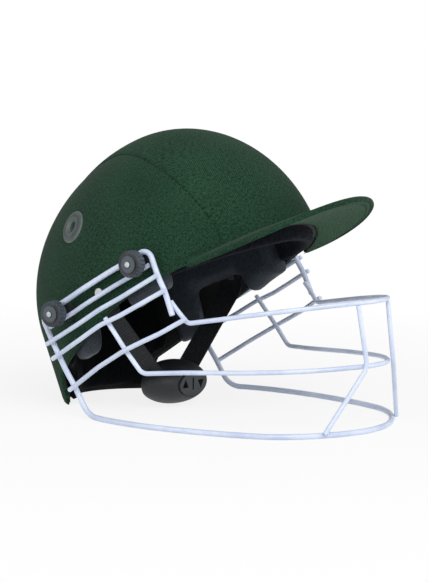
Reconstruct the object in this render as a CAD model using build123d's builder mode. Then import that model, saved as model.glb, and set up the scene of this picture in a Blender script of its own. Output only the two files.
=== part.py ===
from build123d import *
import math
import os

os.makedirs("parts", exist_ok=True)

# All lengths in mm. X runs to the wearer's left, Y to the back, Z up from the floor.
# The helmet lies tipped back on its neck edge and the bottom bar of its grille.

# Head form: the cloth's outer face, in the wearer's own level plane
head_tilt = 23.3
head_origin = (0, 16.2, 114.9)
half_width = 104
front_length = 122
rear_length = 163
crown_height = 132
skirt_depth = 95
cutter_reach = 150

# Layers from the cloth inwards
cover_thickness = 1.2
glue_gap = 0.2
shell_thickness = 3.0
pad_gap = 0.3
seam_gap = 0.5

# Rim of the shell seen from the side: (back, up) from the head origin
rim_points = [
    (-126, 9.5), (-119, 7.7), (-98, 2.8), (-69, -1), (-52, -2), (-38, -5), (-14, -6.8), (8, -10.5),
    (28, -15.5), (48, -21.6), (71, -28.4), (99, -36.7), (121, -44), (127, -70.4),
]
rim_back = (190, -43.3)
rim_top = 160
rim_front = -150
rim_round = 12
neck_round = 8

# Seams between the centre and side panels of the cloth: (half width, back)
seam_points = [(66, -140), (70, -100), (71, -78), (63, -42), (54, -21), (41, 4), (30, 45), (24, 95), (21, 180)]

# Peak
peak_dip = 3.0
peak_rise = 15.3
peak_arch_radius = 290
peak_board_thickness = 2.0
peak_cloth_thickness = 1.0
peak_cloth_gap = 0.1
peak_half_width = 91
peak_reach = 130
peak_centre_back = -55
peak_welt_radius = 2.3
peak_welt_gap = 0.7
peak_shell_gap = 0.3
peak_bed_width = 240
peak_bed_depth = 120
peak_bed_reach = 220

# Eyelets in the sides of the crown: (half width, back, up) of the seat
eyelet_seat = (83.1, 45.8, 70.1)
eyelet_radius = 14.5
eyelet_bore_radius = 5
eyelet_barrel_radius = 8
eyelet_flange_thickness = 2.6
eyelet_lip = 0.9
eyelet_rim_height = 0.6
eyelet_depth = 9

# Pads inside
crown_pad_thickness = 11
crown_pad_bottom = 52
headband_inset = 8.7
headband_thickness = 8
headband_back = -46
headband_bottom = -5
headband_top = 32
headband_round = 3.4
side_pad_inset = 13
side_pad_thickness = 11
side_pad_front = -36
side_pad_back = 88
side_pad_top = 38
side_pad_round = 3.6
side_pad_drop = 8
side_pad_notch_front = 4
side_pad_notch_back = 60
side_pad_notch_top = -1
side_pad_notch_round = 6
neck_pad_inset = 6.6
neck_pad_thickness = 10
neck_pad_front = 98
neck_pad_top = 18
neck_pad_clear = 3
neck_pad_round = 3

# Grille wires
frame_wire_radius = 2.4
thin_wire_radius = 2.0
largest_bend = 70
bend_share = 0.48
slot_x = 105.8
slot_bow_x = 108.2

# Clamp studs: (back, up); the slot runs down from the front one to the rear one
front_stud = (-2.6, 137.1)
rear_stud = (81.2, 88.7)
slot_upper_offset = 6.5
slot_lower_offset = -6.1
stud_radius = 2.4
stud_head_radius = 7
stud_head_thickness = 1.6
stud_end_x = 121.4
front_stud_head_x = 92.4
rear_stud_head_x = 85.2
spacer_radius = 8.6
spacer_bore_radius = 2.6
spacer_face_x = 103.2
spacer_root_x = 90
spacer_shell_gap = 0.1
washer_radius = 9
washer_bore_radius = 2.6
washer_face_x = 108.4
washer_thickness = 1.5
knob_base_x = 110.1
knob_radius = 11.4
knob_height = 9.2
knob_collar_radius = 10
knob_collar_height = 1.2
knob_face_radius = 7.2
knob_face_height = 0.9
knob_bore_radius = 2.6
knob_round = 1.5
knob_groove_radius = 0.8
knob_grooves = 20

# Chin strap, hung on two rivets
rivet_point = (40.2, 108.7)
rivet_shank_radius = 1.6
rivet_head_radius = 4.2
rivet_head_thickness = 1.4
rivet_outer_x = 104.6
rivet_inner_x = 92.6
strap_x = 94.2
strap_thickness = 1.4
strap_width = 24
strap_top = 12
strap_bend_z = 96.5
strap_end_x = 33
strap_end_z = 38.5
strap_bend_radius = 9
strap_end_radius = 12
rivet_hole_radius = 1.75

# Chin cup
cup_centre = (0, 35.6, 20.9)
cup_half_width = 37
cup_half_height = 19.5
cup_front_depth = 19
cup_back_depth = 14
cup_wall = 3
cup_corner_share = 0.62
cup_back_share = 0.9
cup_middle_share = 0.6
cup_shoulder_share = 0.86
cup_step = 3.2
cup_step_height = 1.6
cup_pad_gap = 0.3
cup_pad_thickness = 6
cup_hole_x = 11.5
cup_hole_size = 5.2
cup_slot_length = 9
cup_slot_width = 2.2

# Bottom wire on the floor
floor_wire_z = frame_wire_radius

# Paths of the grille's wires, left side: (x, back, up)
frame_low_end = (107.6, -39.8, 96.5)
frame_front = [(106.6, -31.1, 115.7), (106, -23.2, 127.8)]
frame_rear = [(105.8, 89.4, 62.6), (105.8, 74.7, 39.7), (105.8, 64, 25.4)]
frame_bar = [
    (106, 49.2, 2.4), (113, 27, 2.4), (115.4, 4, 2.4), (115.6, -19, 2.4), (113, -45, 2.4),
    (108.6, -68, 2.4), (101.5, -96, 2.4), (90, -126, 2.4), (75, -143, 2.4), (59, -155, 2.4),
    (39, -165.5, 2.4), (16, -173.6, 2.4),
]
cheek_wire_upper_points = [
    (110.4, -25.8, 129.3), (110.4, -22.2, 127.2), (113.6, 11.1, 107.3), (114.6, 31.6, 96.2),
    (113.4, 54.7, 82.1), (110.2, 89.4, 62.6), (110.2, 92.6, 60.8),
]
cheek_wire_middle_points = [
    (110.9, -33.6, 117.2), (110.9, -30.2, 115.2), (114.6, -9.9, 103.4), (117.2, 7.9, 93.2),
    (118, 28.3, 83.6), (115.8, 53, 68.1), (110.2, 82.9, 50.5), (110.2, 86.2, 48.5),
]
cheek_wire_lower_points = [
    (104.3, -51.4, 94.2), (105, -47.6, 92.2), (111, -28.7, 80.5), (115.8, -12.6, 72.1),
    (118, 3.2, 63.8), (116.4, 31.1, 47.2), (110.2, 64, 25.4), (110.2, 67.1, 23.3),
]
middle_bar_points = [
    (114, 25.6, 89.5), (114, 3.2, 63.8), (112, -12.6, 45.7), (97, -45, 48), (84, -94, 51),
    (72, -121, 52.8), (60, -140, 54.2), (46, -154.5, 55.4), (31, -165.5, 56.4), (14, -174.4, 56.8),
]
upper_bar_points = [
    (103, -34.8, 107.3), (102.9, -40.2, 101.4), (100.4, -50.5, 90), (92, -81, 95.5), (80.5, -106, 100),
    (62, -136, 105), (40, -158, 108.4), (24, -168, 109.6), (12, -172.4, 110),
]
front_bar_points = [(24.1, -168, 107.6), (21.3, -176.2, 56.6), (58.6, -159.4, 4)]
slot_straights = (-15.7, 13, 31, 66, 84, 116.8)
slot_lower_ends = (-9.3, 113.1)
corner_bend = 8
low_corner_bend = 12
middle_bar_bend = 9
upper_bar_bend = 6
front_bar_bend = 16

tilt = math.radians(head_tilt)
head = Plane(
    origin=head_origin,
    x_dir=(1, 0, 0),
    z_dir=(0, math.sin(tilt), math.cos(tilt)),
)
side = Plane(origin=head.origin, x_dir=head.y_dir, z_dir=(1, 0, 0))
dip = math.radians(head_tilt - peak_dip)
peak_origin = head.origin + head.z_dir * peak_rise
peak_plane = Plane(
    origin=peak_origin,
    x_dir=(1, 0, 0),
    z_dir=(0, -math.cos(dip), math.sin(dip)),
)


def quarter_form(inset, length, turn):
    """The front or rear upper quarter of the head form, drawn in by the inset."""
    half = half_width - inset
    with BuildPart() as quarter:
        Sphere(half, arc_size1=0, arc_size2=90, arc_size3=180, rotation=(0, 0, turn), align=None)
        scale(by=(1, (length - inset) / half, (crown_height - inset) / half))
    return quarter.part


def plan_outline(inset):
    """The head form's outline at its widest level."""
    with BuildSketch() as plan:
        with BuildLine():
            EllipticalCenterArc((0, 0), half_width - inset, rear_length - inset, 0, arc_size=180)
            EllipticalCenterArc((0, 0), half_width - inset, front_length - inset, 180, arc_size=180)
        make_face()
    return plan.sketch


def head_form(inset, depth):
    """The head form drawn in by the inset, as one solid."""
    with BuildPart() as form:
        with BuildSketch():
            add(plan_outline(inset))
        extrude(amount=-depth)
        add(quarter_form(inset, rear_length, 0))
        add(quarter_form(inset, front_length, 180))
    return form.part.moved(head.location)


def head_layer(outer, inner, depth):
    """One layer of the head form between two insets, with its skirt."""
    with BuildPart() as rear_part:
        add(quarter_form(outer, rear_length, 0))
        add(quarter_form(inner, rear_length, 0), mode=Mode.SUBTRACT)
    with BuildPart() as front_part:
        add(quarter_form(outer, front_length, 180))
        add(quarter_form(inner, front_length, 180), mode=Mode.SUBTRACT)
    with BuildPart() as layer:
        with BuildSketch():
            add(plan_outline(outer))
            add(plan_outline(inner), mode=Mode.SUBTRACT)
        extrude(amount=-depth)
        add(rear_part.part)
        add(front_part.part)
    return layer.part.moved(head.location)


def rim_cutter(lift):
    """Everything above the rim, seen from the side, with the rim lifted."""
    with BuildPart() as cutter:
        with BuildSketch(side):
            with BuildLine():
                FilletPolyline(
                    (rim_front, rim_points[0][1] + lift),
                    *[(back, up + lift) for back, up in rim_points],
                    (rim_back[0], rim_back[1] + lift),
                    radius=[rim_round] * (len(rim_points) - 2) + [neck_round, neck_round],
                )
                Polyline(
                    (rim_back[0], rim_back[1] + lift),
                    (rim_back[0], rim_top),
                    (rim_front, rim_top),
                    (rim_front, rim_points[0][1] + lift),
                )
            make_face()
        extrude(amount=cutter_reach, both=True)
    return cutter.part


def bend_radii(points, corner=None, corner_at=None):
    """The widest bend that fits at each inner point of a wire's path."""
    nodes = [Vector(*point) for point in points]
    radii = []
    for index in range(1, len(nodes) - 1):
        before = nodes[index] - nodes[index - 1]
        after = nodes[index + 1] - nodes[index]
        turn = math.radians(before.get_angle(after))
        room = bend_share * min(before.length, after.length)
        fit = min(largest_bend, room / math.tan(turn / 2))
        if corner_at and index in corner_at:
            fit = min(fit, corner)
        radii.append(fit)
    return radii


def wire(points, radius, corner=None, corner_at=None):
    """A round wire along straight runs joined by tangent bends."""
    with BuildPart() as piece:
        with BuildLine() as path:
            FilletPolyline(*points, radius=bend_radii(points, corner, corner_at))
        with BuildSketch(Plane(origin=path.line @ 0, z_dir=path.line % 0)):
            Circle(radius)
        sweep(path=path.line)
    return piece


def mirrored(points):
    """The same path on the other side, read from its end."""
    return [(-x, y, z) for x, y, z in reversed(points)]


def across(piece):
    """The same piece on the wearer's other side."""
    with BuildPart() as other:
        add(mirror(piece.part, about=Plane.YZ))
    return other


def slot_point(along, offset, x):
    """A point beside the line through the two studs."""
    back = rear_stud[0] - front_stud[0]
    up = rear_stud[1] - front_stud[1]
    length = math.hypot(back, up)
    back_share = back / length
    up_share = up / length
    return (
        x,
        front_stud[0] + along * back_share - offset * up_share,
        front_stud[1] + along * up_share + offset * back_share,
    )


def disc(x, point, radius, thickness, bore=0):
    """A flat round piece on a stud's axis, its inner face at x."""
    with BuildPart() as piece:
        with BuildSketch(Plane(origin=(x, point[0], point[1]), x_dir=(0, 1, 0), z_dir=(1, 0, 0))):
            Circle(radius)
            if bore:
                Circle(bore, mode=Mode.SUBTRACT)
        extrude(amount=thickness)
    return piece


# Forms and cutters shared by the pieces
shell_inset = cover_thickness + glue_gap
liner_inset = shell_inset + shell_thickness + pad_gap
rim_keep = rim_cutter(0)

eyelet_normal = Vector(
    eyelet_seat[0] / half_width**2,
    eyelet_seat[1] / rear_length**2,
    eyelet_seat[2] / crown_height**2,
).normalized()
eyelet_seat_world = head.from_local_coords(Vector(*eyelet_seat))
eyelet_axis = (
    head.x_dir * eyelet_normal.X + head.y_dir * eyelet_normal.Y + head.z_dir * eyelet_normal.Z
)
eyelet_plane = Plane(origin=eyelet_seat_world, z_dir=eyelet_axis)

with BuildPart() as left_holes:
    with BuildSketch(eyelet_plane.offset(eyelet_depth)):
        Circle(eyelet_barrel_radius + glue_gap)
    extrude(amount=-3 * eyelet_depth)
    for stud in (front_stud, rear_stud):
        add(disc(spacer_root_x - stud_head_radius, stud, spacer_bore_radius, cutter_reach / 4).part)
    add(disc(spacer_root_x, rivet_point, rivet_hole_radius, cutter_reach / 4).part)
right_holes = across(left_holes)

# Moulded shell
with BuildPart() as shell:
    add(head_layer(shell_inset, shell_inset + shell_thickness, skirt_depth))
    add(rim_keep, mode=Mode.INTERSECT)
    add(left_holes.part, mode=Mode.SUBTRACT)
    add(right_holes.part, mode=Mode.SUBTRACT)

# Cloth cover in three panels
with BuildPart() as cloth:
    add(head_layer(0, cover_thickness, skirt_depth))
    add(rim_keep, mode=Mode.INTERSECT)
    add(left_holes.part, mode=Mode.SUBTRACT)
    add(right_holes.part, mode=Mode.SUBTRACT)


def centre_prism(spread):
    """The upright prism over the centre panel, its seams moved out."""
    with BuildPart() as prism:
        with BuildSketch(head.offset(-skirt_depth)):
            with BuildLine():
                Spline(*[(x + spread, back) for x, back in seam_points])
                Line((seam_points[-1][0] + spread, seam_points[-1][1]), (-seam_points[-1][0] - spread, seam_points[-1][1]))
                Spline(*[(-x - spread, back) for x, back in reversed(seam_points)])
                Line((-seam_points[0][0] - spread, seam_points[0][1]), (seam_points[0][0] + spread, seam_points[0][1]))
            make_face()
        extrude(amount=2 * cutter_reach)
    return prism.part


with BuildPart() as cover_centre:
    add(cloth.part)
    add(centre_prism(0), mode=Mode.INTERSECT)

with BuildPart() as cover_left:
    add(cloth.part)
    add(centre_prism(seam_gap), mode=Mode.SUBTRACT)
    split(bisect_by=Plane.YZ, keep=Keep.TOP)
cover_right = across(cover_left)


# Peak: a board between two cloths, bound by a round welt
def peak_slab(low, high, draw_in):
    """One layer of the peak, from low to high over the board's middle."""
    with BuildPart() as slab:
        with BuildSketch(peak_plane):
            with Locations((0, -peak_arch_radius)):
                Circle(peak_arch_radius + high)
                Circle(peak_arch_radius + low, mode=Mode.SUBTRACT)
            Rectangle(peak_bed_width, peak_bed_depth, mode=Mode.INTERSECT)
        extrude(amount=peak_bed_reach)
        with BuildSketch(head.offset(-peak_bed_depth)):
            with Locations((0, peak_centre_back)):
                Ellipse(peak_half_width - draw_in, peak_reach - draw_in)
            with Locations((0, peak_centre_back + peak_reach)):
                Rectangle(peak_bed_width, 2 * peak_reach, mode=Mode.SUBTRACT)
        extrude(amount=2 * peak_bed_depth, mode=Mode.INTERSECT)
        add(peak_bite, mode=Mode.SUBTRACT)
    return slab


peak_bite = head_form(-peak_shell_gap, skirt_depth)
peak_draw_in = peak_welt_radius + peak_welt_gap
board_half = peak_board_thickness / 2
peak_board = peak_slab(-board_half, board_half, peak_draw_in)
peak_top_cover = peak_slab(
    board_half + peak_cloth_gap,
    board_half + peak_cloth_gap + peak_cloth_thickness,
    peak_draw_in,
)
peak_under_cover = peak_slab(
    -board_half - peak_cloth_gap - peak_cloth_thickness,
    -board_half - peak_cloth_gap,
    peak_draw_in,
)

# The welt follows the same outline over the same arch
welt_steps = 34
welt_first = 3
peak_welt_points = []
for step in range(welt_first, welt_steps + 1 - welt_first):
    angle = math.pi * step / welt_steps
    x = peak_half_width * math.cos(angle)
    back = peak_centre_back - peak_reach * math.sin(angle)
    drop = peak_arch_radius - math.sqrt(peak_arch_radius**2 - x**2)
    up = peak_rise + back * math.tan(math.radians(peak_dip)) - drop
    point = head.from_local_coords(Vector(x, back, up))
    peak_welt_points.append((point.X, point.Y, point.Z))
with BuildPart() as peak_welt:
    with BuildLine() as welt_path:
        FilletPolyline(*peak_welt_points, radius=bend_radii(peak_welt_points))
    with BuildSketch(Plane(origin=welt_path.line @ 0, z_dir=welt_path.line % 0)):
        Circle(peak_welt_radius)
    sweep(path=welt_path.line)
    add(peak_bite, mode=Mode.SUBTRACT)

# Eyelets with a broad lip on the cloth
with BuildPart() as eyelet_turned:
    with BuildSketch(Plane.XZ):
        with BuildLine():
            Polyline(
                (eyelet_bore_radius, -eyelet_depth),
                (eyelet_barrel_radius, -eyelet_depth),
                (eyelet_barrel_radius, -eyelet_flange_thickness),
                (eyelet_radius, -eyelet_flange_thickness),
                (eyelet_radius, eyelet_rim_height),
                (eyelet_radius - eyelet_lip, eyelet_rim_height + eyelet_lip),
                (eyelet_bore_radius + 2 * eyelet_lip, eyelet_flange_thickness),
                (eyelet_bore_radius, eyelet_rim_height),
                (eyelet_bore_radius, -eyelet_depth),
            )
        make_face()
    revolve(axis=Axis.Z)
with BuildPart() as eyelet_barrel_room:
    with BuildSketch(eyelet_plane.offset(-2 * eyelet_depth)):
        Circle(eyelet_barrel_radius + glue_gap / 2)
    extrude(amount=3 * eyelet_depth)
with BuildPart() as eyelet_bed:
    add(head_form(-glue_gap, skirt_depth))
    add(eyelet_barrel_room.part, mode=Mode.SUBTRACT)
with BuildPart() as vent_eyelet_left:
    add(eyelet_turned.part.moved(eyelet_plane.location))
    add(eyelet_bed.part, mode=Mode.SUBTRACT)
vent_eyelet_right = across(vent_eyelet_left)

# Crown pad
crown_inset = liner_inset + crown_pad_thickness
crown_quarters = []
for length, turn in ((rear_length, 0), (front_length, 180)):
    with BuildPart() as crown_quarter:
        add(quarter_form(liner_inset, length, turn))
        add(quarter_form(crown_inset, length, turn), mode=Mode.SUBTRACT)
        split(bisect_by=Plane.XY.offset(crown_pad_bottom), keep=Keep.TOP)
    crown_quarters.append(crown_quarter.part)
with BuildPart() as crown_dome:
    for quarter in crown_quarters:
        add(quarter)
with BuildPart() as crown_pad:
    add(crown_dome.part.moved(head.location))
    add(left_holes.part, mode=Mode.SUBTRACT)
    add(right_holes.part, mode=Mode.SUBTRACT)


def band(inset, thickness, back_from, back_to, low, high):
    """An upright strip along the head form's plan, between two places from front to back."""
    with BuildPart() as strip:
        with BuildSketch(head.offset(low)):
            add(plan_outline(inset))
            add(plan_outline(inset + thickness), mode=Mode.SUBTRACT)
            with Locations((0, (back_from + back_to) / 2)):
                Rectangle(4 * half_width, back_to - back_from, mode=Mode.INTERSECT)
        extrude(amount=high - low)
    return strip.part


# Headband across the brow
with BuildPart() as headband:
    add(band(headband_inset, headband_thickness, -front_length, headband_back, headband_bottom, headband_top))
    fillet(headband.faces().sort_by(Axis(head.origin, head.z_dir))[0].edges(), radius=headband_round)

# Side pads with a notch for the strap
with BuildPart() as side_pad_left:
    add(band(side_pad_inset, side_pad_thickness, side_pad_front, side_pad_back, -skirt_depth, side_pad_top))
    split(bisect_by=Plane.YZ, keep=Keep.TOP)
    add(rim_cutter(-side_pad_drop), mode=Mode.INTERSECT)
    with BuildSketch(side):
        with BuildLine():
            FilletPolyline(
                (side_pad_notch_front, -skirt_depth),
                (side_pad_notch_front, side_pad_notch_top),
                (side_pad_notch_back, side_pad_notch_top),
                (side_pad_notch_back, -skirt_depth),
                radius=side_pad_notch_round,
            )
            Line((side_pad_notch_back, -skirt_depth), (side_pad_notch_front, -skirt_depth))
        make_face()
    extrude(amount=cutter_reach, mode=Mode.SUBTRACT)
side_pad_right = across(side_pad_left)

# Neck pad inside the back of the shell
with BuildPart() as neck_pad:
    add(band(neck_pad_inset, neck_pad_thickness, neck_pad_front, rear_length, -skirt_depth, neck_pad_top))
    add(rim_cutter(neck_pad_clear), mode=Mode.INTERSECT)

# Grille: one frame wire round both sides and along the floor
slot_corner_front = slot_point(slot_straights[0], slot_upper_offset, slot_x)
slot_corner_rear = slot_point(slot_straights[5], slot_upper_offset, slot_x)
frame_half = [
    frame_low_end,
    *frame_front,
    slot_corner_front,
    slot_point(slot_straights[1], slot_upper_offset, slot_x),
    slot_point(slot_straights[2], slot_upper_offset, slot_bow_x),
    slot_point(slot_straights[3], slot_upper_offset, slot_bow_x),
    slot_point(slot_straights[4], slot_upper_offset, slot_x),
    slot_corner_rear,
    *frame_rear,
    *frame_bar,
]
frame_path = frame_half + mirrored(frame_half)
frame_corner_at = [
    frame_half.index(slot_corner_front),
    frame_half.index(slot_corner_rear),
    len(frame_path) - 1 - frame_half.index(slot_corner_front),
    len(frame_path) - 1 - frame_half.index(slot_corner_rear),
]
frame_wire = wire(frame_path, frame_wire_radius, corner_bend, frame_corner_at)
slot_lower_points = [
    slot_point(slot_lower_ends[0], slot_lower_offset, slot_x),
    slot_point(slot_straights[1], slot_lower_offset, slot_x),
    slot_point(slot_straights[2], slot_lower_offset, slot_bow_x),
    slot_point(slot_straights[3], slot_lower_offset, slot_bow_x),
    slot_point(slot_straights[4], slot_lower_offset, slot_x),
    slot_point(slot_lower_ends[1], slot_lower_offset, slot_x),
]
slot_wire_left = wire(slot_lower_points, thin_wire_radius)
slot_wire_right = across(slot_wire_left)
cheek_wire_upper_left = wire(cheek_wire_upper_points, thin_wire_radius)
cheek_wire_upper_right = across(cheek_wire_upper_left)
cheek_wire_middle_left = wire(cheek_wire_middle_points, thin_wire_radius)
cheek_wire_middle_right = across(cheek_wire_middle_left)
cheek_wire_lower_left = wire(cheek_wire_lower_points, thin_wire_radius)
cheek_wire_lower_right = across(cheek_wire_lower_left)
middle_bar = wire(middle_bar_points + mirrored(middle_bar_points), thin_wire_radius, middle_bar_bend, [2, 17])
upper_bar = wire(upper_bar_points + mirrored(upper_bar_points), thin_wire_radius, upper_bar_bend, [2, 15])
front_bar_left = wire(front_bar_points, thin_wire_radius, front_bar_bend, [1])
front_bar_right = across(front_bar_left)

# Clamps: headed studs, rubber spacers, washers and knobs
with BuildPart() as studs_left:
    for stud, head_x in ((front_stud, front_stud_head_x), (rear_stud, rear_stud_head_x)):
        add(disc(head_x, stud, stud_head_radius, stud_head_thickness).part)
        add(disc(head_x, stud, stud_radius, stud_end_x - head_x).part)
with BuildPart() as clamp_studs:
    add(studs_left.part)
    add(mirror(studs_left.part, about=Plane.YZ))
spacer_bed = head_form(-spacer_shell_gap, skirt_depth)
with BuildPart() as spacers_left:
    for stud in (front_stud, rear_stud):
        add(disc(spacer_root_x, stud, spacer_radius, spacer_face_x - spacer_root_x, spacer_bore_radius).part)
    add(spacer_bed, mode=Mode.SUBTRACT)
with BuildPart() as clamp_spacers:
    add(spacers_left.part)
    add(mirror(spacers_left.part, about=Plane.YZ))
with BuildPart() as washers_left:
    for stud in (front_stud, rear_stud):
        add(disc(washer_face_x, stud, washer_radius, washer_thickness, washer_bore_radius).part)
with BuildPart() as clamp_washers:
    add(washers_left.part)
    add(mirror(washers_left.part, about=Plane.YZ))


def knob(point):
    """A grooved clamp knob with a raised face round its threaded bore."""
    base = Plane(origin=(knob_base_x, point[0], point[1]), x_dir=(0, 1, 0), z_dir=(1, 0, 0))
    with BuildPart() as piece:
        with BuildSketch(base):
            Circle(knob_collar_radius)
        extrude(amount=knob_collar_height)
        with BuildSketch(base.offset(knob_collar_height)):
            Circle(knob_radius)
        extrude(amount=knob_height - knob_collar_height)
        fillet(piece.edges().filter_by(GeomType.CIRCLE).sort_by(Axis.X)[-1], radius=knob_round)
        with BuildSketch(base.offset(knob_height)):
            Circle(knob_face_radius)
        extrude(amount=knob_face_height)
        with BuildSketch(base):
            Circle(knob_bore_radius)
        extrude(amount=knob_height + knob_face_height, mode=Mode.SUBTRACT)
        with BuildSketch(base):
            with PolarLocations(knob_radius, knob_grooves):
                Circle(knob_groove_radius)
        extrude(amount=knob_height, mode=Mode.SUBTRACT)
    return piece


knob_front_left = knob(front_stud)
knob_rear_left = knob(rear_stud)
knob_front_right = across(knob_front_left)
knob_rear_right = across(knob_rear_left)

# Strap rivets
with BuildPart() as rivet_left:
    add(disc(rivet_inner_x, rivet_point, rivet_head_radius, rivet_head_thickness / 2).part)
    add(disc(rivet_inner_x, rivet_point, rivet_shank_radius, rivet_outer_x - rivet_inner_x).part)
    add(disc(rivet_outer_x - rivet_head_thickness, rivet_point, rivet_head_radius, rivet_head_thickness).part)
with BuildPart() as strap_rivets:
    add(rivet_left.part)
    add(mirror(rivet_left.part, about=Plane.YZ))

# Strap: flat webbing from the rivet to the cup
strap_face = Plane(origin=(0, rivet_point[0], 0), x_dir=(1, 0, 0), z_dir=(0, -1, 0))
with BuildPart() as strap_left:
    with BuildSketch(strap_face):
        with BuildLine() as strap_run:
            FilletPolyline(
                (strap_x, rivet_point[1] + strap_top),
                (strap_x, strap_bend_z),
                (strap_end_x, strap_end_z),
                radius=strap_bend_radius,
            )
            offset(amount=strap_thickness / 2, side=Side.BOTH, closed=True, kind=Kind.ARC)
        make_face()
    extrude(amount=strap_width / 2, both=True)
    with BuildSketch(Plane(origin=(strap_x, rivet_point[0], rivet_point[1]), x_dir=(0, 1, 0), z_dir=(1, 0, 0))):
        Circle(rivet_hole_radius)
    extrude(amount=strap_thickness, both=True, mode=Mode.SUBTRACT)
strap_right = across(strap_left)

# Chin cup: a bowl open to the back, with a stepped face and openings for the straps
cup_plane = Plane(origin=cup_centre, x_dir=(1, 0, 0), z_dir=(0, -1, 0))


def cup_body(draw_in, front, back):
    """The cup's rounded body between two depths, drawn in by a wall."""
    half = cup_half_width - draw_in
    high = cup_half_height - draw_in
    with BuildPart() as body:
        with BuildSketch(cup_plane.offset(-back)):
            Ellipse(half * cup_back_share, high * cup_back_share)
        with BuildSketch(cup_plane):
            Ellipse(half, high)
        with BuildSketch(cup_plane.offset(front * cup_middle_share)):
            Ellipse(half * cup_shoulder_share, high * cup_shoulder_share)
        with BuildSketch(cup_plane.offset(front)):
            Ellipse(half * cup_corner_share, high * cup_corner_share)
        loft()
    return body.part


with BuildPart() as cup_openings:
    with BuildSketch(cup_plane.offset(cup_front_depth / 2)):
        with Locations((cup_hole_x, 0)):
            RegularPolygon(cup_hole_size, 3, rotation=30)
        with Locations((-cup_hole_x, 0)):
            RegularPolygon(cup_hole_size, 3, rotation=-30)
        SlotCenterToCenter(cup_slot_length, cup_slot_width, rotation=90)
    extrude(amount=cup_front_depth)
with BuildPart() as chin_cup:
    add(cup_body(0, cup_front_depth, cup_back_depth))
    with BuildSketch(cup_plane.offset(cup_front_depth)):
        Ellipse(cup_half_width * cup_corner_share - cup_step, cup_half_height * cup_corner_share - cup_step / 2)
    extrude(amount=cup_step_height)
    add(cup_body(cup_wall, cup_front_depth - cup_wall, 2 * cup_back_depth), mode=Mode.SUBTRACT)
    add(cup_openings.part, mode=Mode.SUBTRACT)

parts_to_write = {
    "shell": shell,
    "cover_centre": cover_centre,
    "cover_left": cover_left,
    "cover_right": cover_right,
    "peak_board": peak_board,
    "peak_top_cover": peak_top_cover,
    "peak_under_cover": peak_under_cover,
    "peak_welt": peak_welt,
    "vent_eyelet_left": vent_eyelet_left,
    "vent_eyelet_right": vent_eyelet_right,
    "crown_pad": crown_pad,
    "headband": headband,
    "side_pad_left": side_pad_left,
    "side_pad_right": side_pad_right,
    "neck_pad": neck_pad,
    "frame_wire": frame_wire,
    "slot_wire_left": slot_wire_left,
    "slot_wire_right": slot_wire_right,
    "cheek_wire_upper_left": cheek_wire_upper_left,
    "cheek_wire_upper_right": cheek_wire_upper_right,
    "cheek_wire_middle_left": cheek_wire_middle_left,
    "cheek_wire_middle_right": cheek_wire_middle_right,
    "cheek_wire_lower_left": cheek_wire_lower_left,
    "cheek_wire_lower_right": cheek_wire_lower_right,
    "middle_bar": middle_bar,
    "upper_bar": upper_bar,
    "front_bar_left": front_bar_left,
    "front_bar_right": front_bar_right,
    "clamp_studs": clamp_studs,
    "clamp_spacers": clamp_spacers,
    "clamp_washers": clamp_washers,
    "knob_front_left": knob_front_left,
    "knob_rear_left": knob_rear_left,
    "knob_front_right": knob_front_right,
    "knob_rear_right": knob_rear_right,
    "strap_rivets": strap_rivets,
    "strap_left": strap_left,
    "strap_right": strap_right,
    "chin_cup": chin_cup,
}
for label, piece in parts_to_write.items():
    piece.part.label = label
    export_step(piece.part, f"parts/{label}.step")
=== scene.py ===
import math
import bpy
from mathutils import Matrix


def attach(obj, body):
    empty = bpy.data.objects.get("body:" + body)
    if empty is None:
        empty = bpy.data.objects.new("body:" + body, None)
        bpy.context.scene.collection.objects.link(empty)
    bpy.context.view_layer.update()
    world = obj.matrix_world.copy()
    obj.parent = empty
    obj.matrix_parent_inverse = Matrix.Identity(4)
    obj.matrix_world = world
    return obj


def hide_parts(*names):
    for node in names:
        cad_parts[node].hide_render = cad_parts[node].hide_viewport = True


bl_info = {
    "name": "Cricket Helmet Dressing",
    "version": (1, 0, 0),
    "blender": (4, 5, 0),
    "location": "3D View > Sidebar > Helmet",
    "description": "Cloth, padding, webbing and finishes for a cricket helmet with a wire grille",
    "category": "Object",
}

import bmesh
import bpy
import numpy as np
from mathutils import Matrix, Vector

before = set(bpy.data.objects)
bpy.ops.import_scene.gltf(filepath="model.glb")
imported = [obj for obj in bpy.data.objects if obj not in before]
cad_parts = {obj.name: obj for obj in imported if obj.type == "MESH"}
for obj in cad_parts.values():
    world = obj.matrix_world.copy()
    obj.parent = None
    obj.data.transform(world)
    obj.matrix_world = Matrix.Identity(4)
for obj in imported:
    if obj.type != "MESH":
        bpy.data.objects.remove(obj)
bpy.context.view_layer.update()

# Lengths are in millimetres up to the meshes, which are in metres
MM = 0.001
SIDES = ((1, "left"), (-1, "right"))

# The wearer's own level plane, tipped back on the floor
TILT = math.radians(23.3)
HEAD_ORIGIN = np.array([0.0, 16.2, 114.9])
BACKWARD = np.array([0.0, math.cos(TILT), -math.sin(TILT)])
UPWARD = np.array([0.0, math.sin(TILT), math.cos(TILT)])

# The head form, an egg in two halves that meet at the origin
HALF_WIDTH = 104.0
FRONT_LENGTH = 122.0
REAR_LENGTH = 163.0
CROWN_HEIGHT = 132.0
# About the mean of the two lengths
MEAN_LENGTH = 142.0

# Distances back with the rim's height at each, and with the centre panel's half width at each
RIM = np.array(
    [(-150, 9.5), (-126, 9.5), (-119, 7.7), (-98, 2.8), (-69, -1), (-52, -2), (-38, -5), (-14, -6.8), (8, -10.5),
     (28, -15.5), (48, -21.6), (71, -28.4), (99, -36.7), (121, -44), (127, -70.4), (190, -43.3)]
)
SEAM = np.array(
    [(-140, 66), (-100, 70), (-78, 71), (-60, 68.3), (-42, 63), (-21, 54), (4, 41), (24, 34.5), (45, 30), (70, 26.5),
     (95, 24), (180, 21)]
)

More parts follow.
